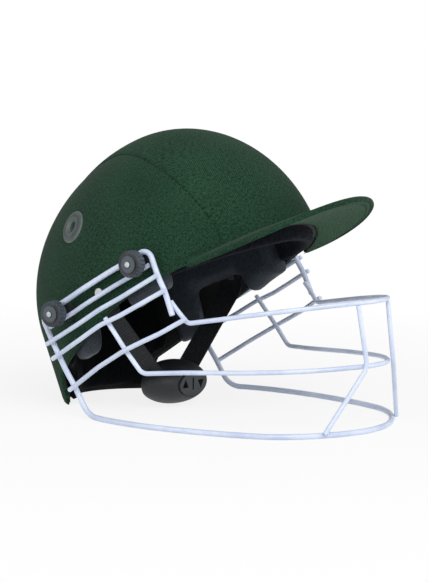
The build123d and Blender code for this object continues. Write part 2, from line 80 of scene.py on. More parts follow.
# The peak: its dip forwards, its height at the origin, the radius of its arch and how far across that runs,
# and the half ellipse of its outline
PEAK_DIP = math.radians(3.0)
PEAK_RISE = 15.3
PEAK_ARCH = 290.0
PEAK_ARCH_END = 100.0
PEAK_HALF_WIDTH = 91.0
PEAK_REACH = 130.0
PEAK_CENTRE = -55.0
PEAK_ROOT_GAP = 0.3

# Where the eyelets sit on the form, and the hole cut for them
EYELET = np.array([83.1, 45.8, 70.1])
EYELET_CUT = 9.0

# Hems from the inside round to the outside: the side panels' as rise above the rim and depth under the form,
# the centre panel's as its share of the distance from the origin and rise
SIDE_HEM = ((0.2, 2.2), (-0.5, 1.9), (-0.8, 1.2), (-0.6, 0.5), (0.3, 0.05))
FRONT_HEM = ((0.981, 0.2), (0.985, -0.7), (0.993, -0.8))
BACK_HEM = ((0.994, -0.4), (0.989, -0.4), (0.985, 0.3))
# Height of a hem that the helmet stands on
FLOOR_CLEARANCE = 0.02

# How far the cloth stands off the form between its seams, and how soon beside one; the width of a seam's dip;
# and how far from the seam the topstitching runs
SIDE_STAND, SIDE_STAND_RUN = 0.35, 16.0
CENTRE_STAND, CENTRE_STAND_RUN = 1.5, 3.0
SEAM_DIP_WIDTH = 2.0
TOPSTITCH_OFFSET = 3.2
# Mesh rows of the panels: round the side and up it, and over the centre
SIDE_TURNS, SIDE_CLIMBS = 120, 64
CENTRE_ANGLES = 140

# The peak's cloths: distance from the board's middle, how much they puff and how soon, and how far inside the
# outline they and their stitches end; then the welt, with the way round it on the flat cloth
PEAK_CLOTH_OFFSET = 2.05
PEAK_PUFF, PEAK_PUFF_RUN = 0.5, 5.0
PEAK_EDGE_INSET = 1.6
PEAK_STITCH_INSET = 5.8
WELT_RADIUS, WELT_GIRTH, WELT_SIDES = 2.45, 15.4, 16

# Depths under the form: the shell's inner face as the pads meet it, and the faces of each pad
PAD_OUTER = 4.9
BAND_INNER = 16.4
EAR_INNER = 23.6
NAPE_OUTER, NAPE_INNER = 4.7, 16.2
CROWN_OUTER, CROWN_INNER = 5.0, 15.2
# Heights of the pads' edges over the widest level, and over the rim where the edge follows that
BAND_LOW, BAND_HIGH = -4.8, 31.5
EAR_OVER_RIM, EAR_HIGH = -7.6, 37.5
NAPE_OVER_RIM, NAPE_HIGH = 1.2, 17.5
CROWN_LOW, CROWN_HIGH = 53.0, 116.0
# How far the ear pad hangs lower on each side of the strap
LOBE_HANG = 5.0
# Channels in the crown pad, as depth and as distance to each side
CHANNEL_DEPTH, CHANNEL_HALF = 5.0, 5.0

# The strap's line as across and up, the run of its bend, its place from front to back, and the webbing's section
STRAP_TOP = np.array([94.2, 120.7])
STRAP_CORNER = np.array([94.2, 96.5])
STRAP_END = np.array([25.0, 30.9])
STRAP_BEND_RUN = 11.0
STRAP_BACK = 40.2
WEBBING_HALF_WIDTH, WEBBING_HALF_THICKNESS = 11.9, 0.7

# The photograph's camera: turned to the wearer's right, raised, leant, and how far off in metres
CAMERA_AZIMUTH, CAMERA_ELEVATION, CAMERA_ROLL = math.radians(-55), math.radians(6.28), math.radians(0.84)
CAMERA_AIM = Vector((0, -0.006, 0.1055))
CAMERA_DISTANCE = 1.7
SENSOR_WIDTH = 36
# Focal length and height of the picture, both in pixels
FOCAL_PIXELS, PICTURE_HEIGHT = 1932.98, 582
# From the middle of the floor to its edge, in millimetres
FLOOR_HALF = 6000


# Places on the head form


def from_head(points):
    """Points as (across, back, up) from the head origin to the frame's own millimetres."""
    points = np.asarray(points, float)
    across = points[..., :1] * np.array([1.0, 0, 0])
    return HEAD_ORIGIN + across + points[..., 1:2] * BACKWARD + points[..., 2:3] * UPWARD


def bell(x, middle, width):
    """A smooth bump of height one."""
    return math.exp(-(((x - middle) / width) ** 2))


def smooth_step(x, middle, width):
    """A smooth rise from zero to one."""
    return 1 / (1 + math.exp(-(x - middle) / width))


def eased(table, back, reach, count):
    """A table's value at a distance back, with its corners eased."""
    spread = np.linspace(-reach, reach, count)
    return np.mean([np.interp(back + d, table[:, 0], table[:, 1]) for d in spread], axis=0)


def rim_height(back):
    return eased(RIM, back, 3.0, 7)


def seam_width(back):
    """Half width of the centre panel at a distance back."""
    return eased(SEAM, back, 9.0, 13)


def form_length(angle):
    """The form's length on the side of an angle from the brow: short in front, long behind."""
    return FRONT_LENGTH if math.cos(angle) > 0 else REAR_LENGTH


def form_point(turn, climb, inset=0.0):
    """A point on the form: a turn round from the brow, a climb over it from its widest level, a depth under it."""
    ring = math.cos(max(climb, 0.0) / CROWN_HEIGHT)
    up = (CROWN_HEIGHT - inset) * math.sin(climb / CROWN_HEIGHT) if climb > 0 else climb
    across = ring * (HALF_WIDTH - inset) * math.sin(turn)
    return np.array([across, -ring * (form_length(turn) - inset) * math.cos(turn), up])


def solve(function, low, high):
    """The place between low and high where the function changes sign."""
    sign = function(low) > 0
    for _ in range(40):
        middle = (low + high) / 2
        if (function(middle) > 0) == sign:
            low = middle
        else:
            high = middle
    return (low + high) / 2


def rim_climb(turn):
    return solve(lambda c: form_point(turn, c)[2] - rim_height(form_point(turn, c)[1]), -90.0, 30.0)


def beyond_seam(turn, climb):
    """How far a point of the form is outside the centre panel."""
    point = form_point(turn, climb)
    return point[0] - seam_width(point[1])


def seam_climb(turn):
    if beyond_seam(turn, 0.0) <= 0:
        return 0.0
    return solve(lambda c: beyond_seam(turn, c), 0.0, CROWN_HEIGHT * math.pi / 2)


def seam_turn(low, high):
    """The turn between two, in degrees, where the seam meets the widest level."""
    return solve(lambda t: beyond_seam(t, 0), math.radians(low), math.radians(high))


def turn_at(back, inset):
    """The turn round the head where the form, drawn in, is that far back."""
    length = (FRONT_LENGTH if back < 0 else REAR_LENGTH) - inset
    return math.acos(max(-1.0, min(1.0, -back / length)))


def peak_height(across, back):
    """The middle of the peak's board above the head plane."""
    reach = np.minimum(np.abs(across), PEAK_ARCH_END)
    return PEAK_RISE + back * math.tan(PEAK_DIP) - (PEAK_ARCH - np.sqrt(PEAK_ARCH**2 - reach**2))


def peak_span(across):
    """Where the peak starts and ends, front to back, at a distance across."""
    root = -(FRONT_LENGTH + PEAK_ROOT_GAP) * math.sqrt(1 - (across / (HALF_WIDTH + PEAK_ROOT_GAP)) ** 2)
    tip = PEAK_CENTRE - PEAK_REACH * math.sqrt(max(0.0, 1 - (across / PEAK_HALF_WIDTH) ** 2))
    return root, tip


# Building meshes


def mesh_piece(name, points, faces, smooth=True, cloth=None):
    """A mesh object from points in millimetres; cloth gives each point's place on the flat cloth."""
    data = bpy.data.meshes.new(name)
    data.from_pydata([tuple(p) for p in np.asarray(points, float) * MM], [], faces)
    if cloth is not None:
        layer = data.uv_layers.new(name="cloth")
        flat = np.asarray(cloth, float).reshape(-1, 2) * MM
        corners = np.zeros(len(data.loops), dtype=int)
        data.loops.foreach_get("vertex_index", corners)
        layer.data.foreach_set("uv", flat[corners].ravel())
    data.validate()
    data.update()
    if smooth:
        shade_smooth(data)
    piece = bpy.data.objects.new(name, data)
    bpy.context.scene.collection.objects.link(piece)
    bm = bmesh.new()
    bm.from_mesh(data)
    bmesh.ops.remove_doubles(bm, verts=bm.verts, dist=1e-6)
    bmesh.ops.recalc_face_normals(bm, faces=bm.faces)
    bm.to_mesh(data)
    bm.free()
    return piece


def shade_smooth(data):
    data.polygons.foreach_set("use_smooth", [True] * len(data.polygons))


def read_points(data):
    """A mesh's points as rows, in metres."""
    points = np.zeros(len(data.vertices) * 3)
    data.vertices.foreach_get("co", points)
    return points.reshape(-1, 3)


def sheet_faces(rows, columns, round_rows=False, round_columns=False, start=0):
    """Quads over a grid of points that is stored row by row."""
    faces = []
    for r in range(rows if round_rows else rows - 1):
        for c in range(columns if round_columns else columns - 1):
            here, there = start + r * columns, start + (r + 1) % rows * columns
            c2 = (c + 1) % columns
            faces.append((here + c, here + c2, there + c2, there + c))
    return faces


def run_length(points):
    """Distance along a row of points, starting at zero."""
    steps = np.linalg.norm(np.diff(np.asarray(points, float), axis=0), axis=1)
    return np.concatenate([[0.0], np.cumsum(steps)])


def unit(vector):
    return vector / np.linalg.norm(vector)


def units(rows):
    return rows / np.linalg.norm(rows, axis=1)[:, None]


def full_turn(count):
    """Angles evenly round a circle."""
    return np.linspace(0, 2 * math.pi, count, endpoint=False)


def sweep_sections(name, sections, cloth=None):
    """A closed body through a list of closed sections, with its ends filled."""
    count = len(sections[0])
    points = np.concatenate(sections)
    faces = sheet_faces(len(sections), count, round_columns=True)
    faces.append(tuple(reversed(range(count))))
    faces.append(tuple(range(len(points) - count, len(points))))
    return mesh_piece(name, points, faces, cloth=cloth)


def tube_sections(path, radius, sides):
    """Round sections along a path, carried along without twist."""
    tangents = units(np.gradient(path, axis=0))
    side = unit(np.cross(tangents[0], [0.3, 0.2, 1.0]))
    sections = []
    for point, tangent in zip(path, tangents):
        side = unit(side - tangent * (side @ tangent))
        other = np.cross(tangent, side)
        ring = [point + radius * (math.cos(a) * side + math.sin(a) * other) for a in full_turn(sides)]
        sections.append(np.array(ring))
    return sections


# A stitch's shape along its length: share, thickness and how far it dives into the cloth
STITCH_SHAPE = ((0.0, 0.25, 0.6), (0.14, 0.85, 0.1), (0.5, 1.0, 0.0), (0.86, 0.85, 0.1), (1.0, 0.25, 0.6))
STITCH_SIDES = 6
STITCH_GAP = 1.7


def stitches(name, path, normals, length, radius=0.42, sink=0.15):
    """A row of short rounded stitches along a path that lies on a surface."""
    along = run_length(path)
    points, faces = [], []
    last = (len(STITCH_SHAPE) - 1) * STITCH_SIDES
    position = STITCH_GAP
    while position + length < along[-1]:
        start, end = (
            np.array([np.interp(p, along, path[:, k]) for k in range(3)]) for p in (position, position + length)
        )
        normal = unit(np.array([np.interp(position + length / 2, along, normals[:, k]) for k in range(3)]))
        side = np.cross(normal, unit(end - start))
        base = len(points)
        for share, scale, drop in STITCH_SHAPE:
            centre = start * (1 - share) + end * share - normal * (sink + drop * radius)
            for a in full_turn(STITCH_SIDES):
                points.append(centre + radius * scale * (math.cos(a) * side + math.sin(a) * normal))
        faces += sheet_faces(len(STITCH_SHAPE), STITCH_SIDES, round_columns=True, start=base)
        faces.append(tuple(base + k for k in reversed(range(STITCH_SIDES))))
        faces.append(tuple(base + last + k for k in range(STITCH_SIDES)))
        position += length + STITCH_GAP
    return mesh_piece(name, points, faces)


def surface_normals(path):
    """Directions away from the head's middle, for rows of stitches on the form."""
    return units(path - from_head(np.array([0.0, 0.0, -20.0])))


# Materials


def linear(value):
    """An sRGB hex value as linear red, green, blue and alpha."""
    value = value.lstrip("#")
    channels = [int(value[k:k + 2], 16) / 255 for k in (0, 2, 4)]
    return [c / 12.92 if c <= 0.04045 else ((c + 0.055) / 1.055) ** 2.4 for c in channels] + [1.0]


def fresh_material(name):
    material = bpy.data.materials.new(name)
    material.use_nodes = True
    tree = material.node_tree
    tree.nodes.clear()
    return material, tree


def node(tree, kind, spot, settings=None, links=None):
    """One node with its settings and its incoming links."""
    made = tree.nodes.new(kind)
    made.location = (spot[0] * 200, spot[1] * 160)
    for key, value in (settings or {}).items():
        if isinstance(key, int) or key in made.inputs:
            made.inputs[key].default_value = value
        else:
            setattr(made, key, value)
    for key, socket in (links or {}).items():
        tree.links.new(socket, made.inputs[key])
    return made


def noise(tree, spot, vector, scale, detail, roughness=0.5):
    """Cloudy noise over a place."""
    settings = {"Scale": scale, "Detail": detail, "Roughness": roughness}
    return node(tree, "ShaderNodeTexNoise", spot, settings, {"Vector": vector}).outputs["Fac"]


def map_range(tree, spot, value, taken, given):
    """A value stretched from one range on to another."""
    settings = {"From Min": taken[0], "From Max": taken[1], "To Min": given[0], "To Max": given[1]}
    return node(tree, "ShaderNodeMapRange", spot, settings, {"Value": value}).outputs["Result"]


def add_share(tree, spot, value, share, base):
    """A share of one value on top of another."""
    settings = {"operation": "MULTIPLY_ADD", 1: share}
    return node(tree, "ShaderNodeMath", spot, settings, {0: value, 2: base}).outputs[0]


def ramp(tree, spot, stops, fac):
    """A colour ramp of two stops."""
    made = node(tree, "ShaderNodeValToRGB", spot, None, {"Fac": fac})
    for element, (position, colour) in zip(made.color_ramp.elements, stops):
        element.position = position
        element.color = colour
    return made.outputs["Color"]


def finish_surface(tree, colour, roughness, settings, height, strength, distance):
    """The closing shader with its bump; the roughness is a number or a socket."""
    plain = dict(settings)
    links = {"Base Color": colour}
    if hasattr(roughness, "node"):
        links["Roughness"] = roughness
    else:
        plain["Roughness"] = roughness
    bump = node(tree, "ShaderNodeBump", (5, -3), {"Strength": strength, "Distance": distance}, {"Height": height})
    links["Normal"] = bump.outputs["Normal"]
    shader = node(tree, "ShaderNodeBsdfPrincipled", (6, 0), plain, links)
    node(tree, "ShaderNodeOutputMaterial", (8, 0), None, {"Surface": shader.outputs["BSDF"]})


# A thread keeps its thickness over this many widths; the warp is a little off square; the rib runs across
# the threads at the twill's angle, so many threads apart; bands of this scale are one millimetre apart
SLUB_LENGTH = 3.5
THREAD_SKEW = math.radians(8)
TWILL_ANGLE = math.radians(52)
TWILL_PITCH = 1.6
MILLIMETRE_BANDS = 314.16
# How much handling changes the shade
HANDLING = 0.35


def woven_cotton(
    name, thread_mm, light, dark, flat=True, rib=0.3, sheen=0.06, roughness=0.92, strength=0.8, shine=0.08
):
    """Woven cloth: uneven warp and weft threads with a diagonal rib, so the light breaks up into fine specks."""
    material, tree = fresh_material(name)
    where = node(tree, "ShaderNodeTexCoord", (-6, 0)).outputs
    spot = where["UV"] if flat else where["Object"]
    fine, long_way = 1000.0 / thread_mm, 1000.0 / (thread_mm * SLUB_LENGTH)
    threads = []
    for row, scale in ((2, (fine, long_way, long_way)), (0, (long_way, fine, long_way))):
        settings = {"Scale": scale, "Rotation": (0.0, 0.0, THREAD_SKEW)}
        drawn = node(tree, "ShaderNodeMapping", (-5, row), settings, {"Vector": spot})
        threads.append(noise(tree, (-4, row), drawn.outputs["Vector"], 1.0, 1.5, 0.6))
    lean = (0.0, 0.0, TWILL_ANGLE) if flat else (0.4, 0.7, TWILL_ANGLE)
    turned = node(tree, "ShaderNodeMapping", (-5, -2), {"Rotation": lean}, {"Vector": spot})
    pitch = thread_mm * TWILL_PITCH
    bands = {"Scale": MILLIMETRE_BANDS / pitch, "Distortion": 3.0, "Detail": 2.0, "Detail Scale": 1.5}
    diagonal = node(tree, "ShaderNodeTexWave", (-4, -2), bands, {"Vector": turned.outputs["Vector"]})
    weave = node(tree, "ShaderNodeMath", (-2, 1), {"operation": "ADD"}, {0: threads[0], 1: threads[1]})
    ribbed = add_share(tree, (-1, 0), diagonal.outputs["Fac"], rib, weave.outputs[0])
    shade = noise(tree, (-4, -4), where["Object"], 14.0, 3.0)
    handled = add_share(tree, (0, -1), shade, HANDLING, ribbed)
    middle = 1.0 + rib * 0.5 + HANDLING * 0.5
    spread = map_range(tree, (1, 1), handled, (middle - 0.34, middle + 0.3), (0.4, 1.1))
    colour = ramp(tree, (2, 1), ((0.5, linear(dark)), (1.0, linear(light))), spread)
    settings = {"IOR": 1.46, "Sheen Weight": sheen, "Sheen Roughness": 0.5, "Specular IOR Level": shine}
    finish_surface(tree, colour, roughness, settings, ribbed, strength, thread_mm * 0.0003)
    return material


def moulded_plastic(name, base, worn, grain_mm, roughness, strength=0.25):
    """Moulded plastic: a fine spark-eroded grain that catches light in points, edges rubbed a little paler."""
    material, tree = fresh_material(name)
    place_on = node(tree, "ShaderNodeTexCoord", (-4, 0)).outputs["Object"]
    grain = node(tree, "ShaderNodeTexVoronoi", (-2, -1), {"Scale": 1000.0 / grain_mm}, {"Vector": place_on})
    cloud = noise(tree, (-2, 1), place_on, 60.0, 4.0)
    pointed = node(tree, "ShaderNodeNewGeometry", (-4, 3)).outputs["Pointiness"]
    edge = ramp(tree, (-2, 3), ((0.5, (0, 0, 0, 1)), (0.6, (1, 1, 1, 1))), pointed)
    amount = add_share(tree, (0, 2), edge, 0.6, cloud)
    colour = ramp(tree, (2, 1), ((0.35, linear(base)), (1.0, linear(worn))), amount)
    rough = map_range(tree, (2, -1), cloud, (0.3, 0.7), (roughness - 0.08, roughness + 0.1))
    finish_surface(tree, colour, rough, {"IOR": 1.53}, grain.outputs["Distance"], strength, grain_mm * 0.0002)
    return material


def powder_coated_steel(name, base, shade):
    """Powder-coated wire: a pale, slightly blue coat with soft orange peel and a broad highlight."""
    material, tree = fresh_material(name)
    place_on = node(tree, "ShaderNodeTexCoord", (-4, 0)).outputs["Object"]
    peel = noise(tree, (-2, -1), place_on, 420.0, 2.0, 0.4)
    cloud = noise(tree, (-2, 1), place_on, 35.0, 5.0, 0.6)
    colour = ramp(tree, (1, 1), ((0.3, linear(shade)), (0.6, linear(base))), cloud)
    rough = map_range(tree, (1, -1), cloud, (0.3, 0.7), (0.28, 0.44))
    settings = {"IOR": 1.5, "Coat Weight": 0.2, "Coat Roughness": 0.25}
    finish_surface(tree, colour, rough, settings, peel, 0.2, 0.00015)
    return material


def zinc_plated_steel(name):
    """Zinc-plated fasteners: bright metal under a dull haze."""
    material, tree = fresh_material(name)
    place_on = node(tree, "ShaderNodeTexCoord", (-4, 0)).outputs["Object"]
    haze = noise(tree, (-2, 0), place_on, 260.0, 4.0)
    colour = ramp(tree, (1, 1), ((0.3, linear("#A9ABAD")), (0.7, linear("#DCDDDF"))), haze)
    rough = map_range(tree, (1, -1), haze, (0.3, 0.7), (0.22, 0.4))
    finish_surface(tree, colour, rough, {"Metallic": 1.0}, haze, 0.1, 0.0001)
    return material


def recipes(options):
    """How each finish is made: its maker, the values that it needs and those that it changes."""
    cloth, plastic = woven_cotton, moulded_plastic
    solid = {"flat": False}
    return {
        # Threads of real drill are about 0.4 mm; at 0.85 mm they are the finest that still show at this size
        "cotton drill": (cloth, (0.85, options.cloth_light, options.cloth_dark), {}),
        # The peak's underside is the same drill, given lighter colours as painted bounce light from the pale floor
        "drill underside": (cloth, (0.85, options.under_light_painted_bounce, options.under_dark_painted_bounce), {}),
        # Darker than the cloth, so the rows read as fine broken lines
        "sewing thread": (cloth, (0.6, options.thread_light, options.thread_dark), solid | {"sheen": 0.1}),
        # Short loops, drawn coarse; their navy is darkened almost to black as painted shade of the helmet's inside
        "towelling pile": (cloth, (1.3, "#191D26", "#07080C"), solid | {"rib": 0.0, "sheen": 0.03}),
        # A smoother, paler knit that catches a soft sheen beside the strap
        "grey foam cloth": (
            cloth,
            (0.5, "#3A424C", "#22292F"),
            solid | {"rib": 0.0, "roughness": 0.55, "strength": 0.2, "shine": 0.35},
        ),
        # Matt and almost black: a black lining, darkened further as painted shade of the helmet's deep inside
        "black foam cloth": (cloth, (0.9, "#101216", "#060709"), solid | {"rib": 0.1}),
        # Cross ribs of flat webbing, real ones about 1 mm, drawn at 1.4 mm
        "polyester webbing": (
            cloth,
            (1.4, "#2C3236", "#0F1315"),
            {"rib": 0.6, "sheen": 0.15, "roughness": 0.7, "strength": 0.6},
        ),
        # Hard plastics: a grain that breaks the highlight, paler where hands and wire rub the edges
        "moulded shell": (plastic, ("#0C0E10", "#16191B", 0.9, 0.85), {}),
        "stiff board": (plastic, ("#202221", "#303231", 1.2, 0.7), {}),
        "knob nylon": (plastic, (options.knob_dark, options.knob_light, 1.0, 0.52, 0.6), {}),
        "eyelet nylon": (plastic, ("#2E3636", "#66726F", 1.0, 0.45, 0.4), {}),
        "cup polypropylene": (plastic, ("#101518", "#232A2F", 1.1, 0.55, 0.5), {}),
        "spacer rubber": (plastic, ("#17191B", "#24282B", 1.2, 0.75, 0.4), {}),
        # A pale blue-white coat with soft highlights, the brightest thing in the picture
        "powder coat": (powder_coated_steel, (options.wire_light, options.wire_shade), {}),
        # Small bright spots in the middle of the dark knobs
        "zinc plate": (zinc_plated_steel, (), {}),
    }


FINISHES = {}


def finish(name):
    """The shared material of that name, made on first use."""
    if name not in FINISHES:
        maker, values, changes = recipes(bpy.context.scene.helmet_dressing)[name]
        FINISHES[name] = maker(name, *values, **changes)
    return FINISHES[name]


def dress(piece, material):
    """Give a piece one material in all its slots."""
    if piece.data.materials:
        for index in range(len(piece.data.materials)):
            piece.data.materials[index] = material
    else:
        piece.data.materials.append(material)


def place(piece, finish_name, body, nodes=()):
    """Dress a new piece, hang it on its body and hide the CAD nodes that it stands for."""
    dress(piece, finish(finish_name))
    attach(piece, body)
    if nodes:
        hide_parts(*nodes)
    return piece


# Colours and sizes that a user would change


def colour_setting(name, default, meaning):
    return bpy.props.StringProperty(name=name, description=meaning + ", sRGB hex", default=default)


class HelmetDressing(bpy.types.PropertyGroup):
    cloth_light: colour_setting("Cloth light", "#2A4C38", "Cloth where the threads stand up")
    cloth_dark: colour_setting("Cloth dark", "#0F2218", "Cloth between the threads")
    # The underside's colours are the drill's own, lightened: painted bounce light from the floor under the peak
    under_light_painted_bounce: colour_setting("Underside light, painted bounce", "#42644B", "Peak underside threads, lightened as painted bounce light")
    under_dark_painted_bounce: colour_setting("Underside dark, painted bounce", "#1F3A2A", "Peak underside between threads, lightened as painted bounce light")
    thread_light: colour_setting("Thread light", "#16251C", "Sewing thread")
    thread_dark: colour_setting("Thread dark", "#0B150F", "Sewing thread in shade")
    wire_light: colour_setting("Wire coat", "#DCE6FA", "Powder coat in light")
    wire_shade: colour_setting("Wire coat shade", "#C3CFEA", "Powder coat in its dull places")
    knob_dark: colour_setting("Knob", "#15181C", "Knob plastic")
    knob_light: colour_setting("Knob worn", "#4C545D", "Knob plastic where rubbed")
    seam_depth: bpy.props.FloatProperty(
        name="Seam depth", description="How far the cloth dips at a seam, in mm", default=1.6, min=0.0, max=3.0
    )
    stitch_length: bpy.props.FloatProperty(
        name="Stitch length", description="Length of one stitch in mm", default=2.8, min=1.0, max=6.0
    )


# Cloth cover


def on_floor(grid):
    """The points of a panel with its hem pressed flat where the helmet stands on it."""
    points = grid.reshape(-1, 3)
    return np.c_[points[:, :2], np.maximum(points[:, 2], FLOOR_CLEARANCE)]


def peak_end_fold(point):
    """The tuck in the side panels beside the end of the peak, outwards."""
    across, back, up = abs(point[0]), point[1], point[2]
    if back > -30 or up > 40:
        return 0.0
    rise = up - (peak_height(across, back) + 2.0)
    folds = 0.9 * bell(rise, 6.5, 2.2) - 0.9 * bell(rise, 2.6, 1.5) + 0.4 * bell(rise, 13.0, 2.4)
    return bell(back, -62.0, 17.0) * folds


def side_column(turn, depth):
    """One row of a side panel, from inside the hem up to the seam, with its places on the flat cloth."""
    low, high = rim_climb(turn), seam_climb(turn)
    column = [form_point(turn, low + rise, inset) for rise, inset in SIDE_HEM]
    for share in np.linspace(0.02, 1, SIDE_CLIMBS):
        climb = low + (high - low) * share
        gap = (high - climb) * 0.95
        dip = depth * bell(gap, 0.0, SEAM_DIP_WIDTH)
        stand = SIDE_STAND * (1 - bell(gap, 0.0, SIDE_STAND_RUN))
        column.append(form_point(turn, climb, dip - stand - peak_end_fold(form_point(turn, climb))))
    run = run_length(column)
    return column, np.c_[np.full(len(run), turn * 135.0), run + low]


def centre_point(width, angle):
    """A point of the centre panel: a share of its half width, and an angle up from the brow over to the nape."""
    across = 0.0
    length = form_length(angle)
    for _ in range(8):
        ease = math.sqrt(max(0.0, 1 - (across / HALF_WIDTH) ** 2))
        if math.sin(angle) >= 0:
            reach = ease / math.hypot(math.cos(angle) / length, math.sin(angle) / CROWN_HEIGHT)
            back, up = -reach * math.cos(angle), reach * math.sin(angle)
        else:
            back = -math.copysign(length * ease, math.cos(angle))
            up = -abs(back * math.tan(angle))
        across = width * float(seam_width(back))
    return np.array([across, back, up])


def centre_column(width, depth):
    """One row of the centre panel, from the brow's hem to the nape's."""

    def above_rim(angle):
        point = centre_point(width, angle)
        return point[2] - rim_height(point[1])

    start = solve(above_rim, math.radians(-25), math.radians(40))
    end = solve(above_rim, math.radians(140), math.radians(215))
    column = []
    for angle in np.linspace(start, end, CENTRE_ANGLES):
        point = centre_point(width, angle)
        gap = (1 - abs(width)) * float(seam_width(point[1]))
        dip = depth * bell(gap, 0.0, SEAM_DIP_WIDTH)
        stand = CENTRE_STAND * (1 - math.exp(-gap / CENTRE_STAND_RUN))
        shrink = 1 - (dip - stand) / HALF_WIDTH
        column.append(point * np.array([1, shrink, shrink]))
    edge = [column[0] * np.array([share, share, 1]) + np.array([0, 0, rise]) for share, rise in FRONT_HEM]
    tail = [column[-1] * np.array([share, share, 1]) + np.array([0, 0, rise]) for share, rise in BACK_HEM]
    return edge + column + tail


class HELMET_OT_cloth_cover(bpy.types.Operator):
    """Three cloth panels over the shell, their seams and stitches"""

    bl_idname = "helmet.cloth_cover"
    bl_label = "Cloth cover"

    def execute(self, context):
        options = context.scene.helmet_dressing
        front, rear = seam_turn(20, 80), seam_turn(110, 179)
        columns = [side_column(turn, options.seam_depth) for turn in np.linspace(front, rear, SIDE_TURNS)]
        flat = np.array([places for _, places in columns])
        for side, label in SIDES:
            mirror = np.array([side, 1, 1])
            grid = np.array([column for column, _ in columns]) * mirror
            centres = grid.reshape(-1, 3)
            faces = [
                face
                for face in sheet_faces(*grid.shape[:2])
                if np.linalg.norm(centres[list(face)].mean(0) - EYELET * mirror) > EYELET_CUT
            ]
            panel = mesh_piece("cloth_side_" + label, on_floor(from_head(grid)), faces, cloth=flat)
            place(panel, "cotton drill", "headgear", ["cover_" + label])
        # Rows of points lie closest beside the seams, where the cloth dips
        widths = np.concatenate([[-1, -0.985, -0.96, -0.93], np.linspace(-0.88, 0.88, 29), [0.93, 0.96, 0.985, 1]])
        grid = np.array([centre_column(width, options.seam_depth) for width in widths])
        flat = np.array([np.c_[column[:, 0] * 1.1, run_length(column)] for column in grid])
        panel = mesh_piece("cloth_centre", on_floor(from_head(grid)), sheet_faces(*grid.shape[:2]), cloth=flat)
        place(panel, "cotton drill", "headgear", ["cover_centre"])
        # Topstitching on the side panels, along the seam
        seam = []
        for turn in np.linspace(front + 0.03, rear - 0.01, 150):
            seam.append(form_point(turn, max(seam_climb(turn) - TOPSTITCH_OFFSET, rim_climb(turn)), -0.25))
        for side, label in SIDES:
            path = from_head(np.array(seam) * np.array([side, 1, 1]))
            row = stitches("seam_stitches_" + label, path, surface_normals(path), options.stitch_length)
            place(row, "sewing thread", "headgear")
        return {"FINISHED"}


def peak_cloth(label, sign, columns):
    """The peak's cloth on one face of the board, rolled up against the brow on top."""
    shares = np.linspace(0, 1, 40)
    grid = []
    for across in columns:
        root, tip = peak_span(across)
        tip = min(tip + PEAK_EDGE_INSET, root)
        for back in root + (tip - root) * shares:
            reach, edge = root - back, back - tip
            puff = PEAK_PUFF * (1 - math.exp(-edge / PEAK_PUFF_RUN)) * (1 - math.exp(-reach / PEAK_PUFF_RUN))
            seam = 0.45 * bell(edge, 4.2, 1.1)
            roll = math.exp(-reach / 2.0) if sign > 0 else 0.0
            up = peak_height(across, back) + sign * (PEAK_CLOTH_OFFSET + puff - seam) + roll
            grid.append((across, back, up))
    grid = np.array(grid)
    faces = sheet_faces(len(columns), len(shares))
    return mesh_piece("peak_cloth_" + label, from_head(grid), faces, cloth=grid[:, :2])


def peak_stitches(label, sign, columns, length):
    """The row of stitches beside the welt, on one face of the peak."""
    path = []
    for across in columns:
        root, tip = peak_span(across)
        back = tip + PEAK_STITCH_INSET
        if back < root - 1:
            path.append((across, back, peak_height(across, back) + sign * 2.0))
    path = from_head(np.array(path))
    normals = np.tile(UPWARD * sign, (len(path), 1))
    return stitches("peak_stitches_" + label, path, normals, length, radius=0.5, sink=0.1)


def tapered(section):
    """The end of the welt, drawn in where it is sewn down."""
    return section * 0.35 + section.mean(0) * 0.65


class HELMET_OT_peak(bpy.types.Operator):
    """The peak's top and underside cloth, its welt and rows of stitches"""

    bl_idname = "helmet.peak"
    bl_label = "Peak"

    def execute(self, context):
        options = context.scene.helmet_dressing
        columns = (PEAK_HALF_WIDTH - 0.03) * np.sin(np.linspace(-math.pi / 2, math.pi / 2, 101))
        # The underside's finish carries painted bounce light: lighter colours than the top's drill
        for label, sign, finish_name, slot in (
            ("top", 1, "cotton drill", "cloth_green"),
            ("under", -1, "drill underside", "cloth_under"),
        ):
            piece = peak_cloth(label, sign, columns)
            place(piece, finish_name, "headgear", ["peak_" + label + "_cover"])
            row = peak_stitches(label, sign, columns, options.stitch_length)
            place(row, "sewing thread", "headgear")
        path = []
        for angle in np.linspace(math.radians(-5), math.radians(185), 170):
            across = PEAK_HALF_WIDTH * math.cos(angle)
            back = PEAK_CENTRE - PEAK_REACH * math.sin(angle)
            root, _ = peak_span(min(abs(across), HALF_WIDTH) * math.copysign(1, across))
            if back < root - 0.6:
                path.append((across, back, peak_height(across, back)))
        sections = tube_sections(from_head(np.array(path)), WELT_RADIUS, WELT_SIDES)
        sections[0], sections[-1] = tapered(sections[0]), tapered(sections[-1])
        girth = np.linspace(0, WELT_GIRTH, WELT_SIDES)
        flat = np.array([np.c_[girth, np.full(WELT_SIDES, along)] for along in run_length(path)])
        welt = sweep_sections("peak_edge_welt", sections, cloth=flat)
        place(welt, "cotton drill", "headgear", ["peak_welt"])
        return {"FINISHED"}


# Padding


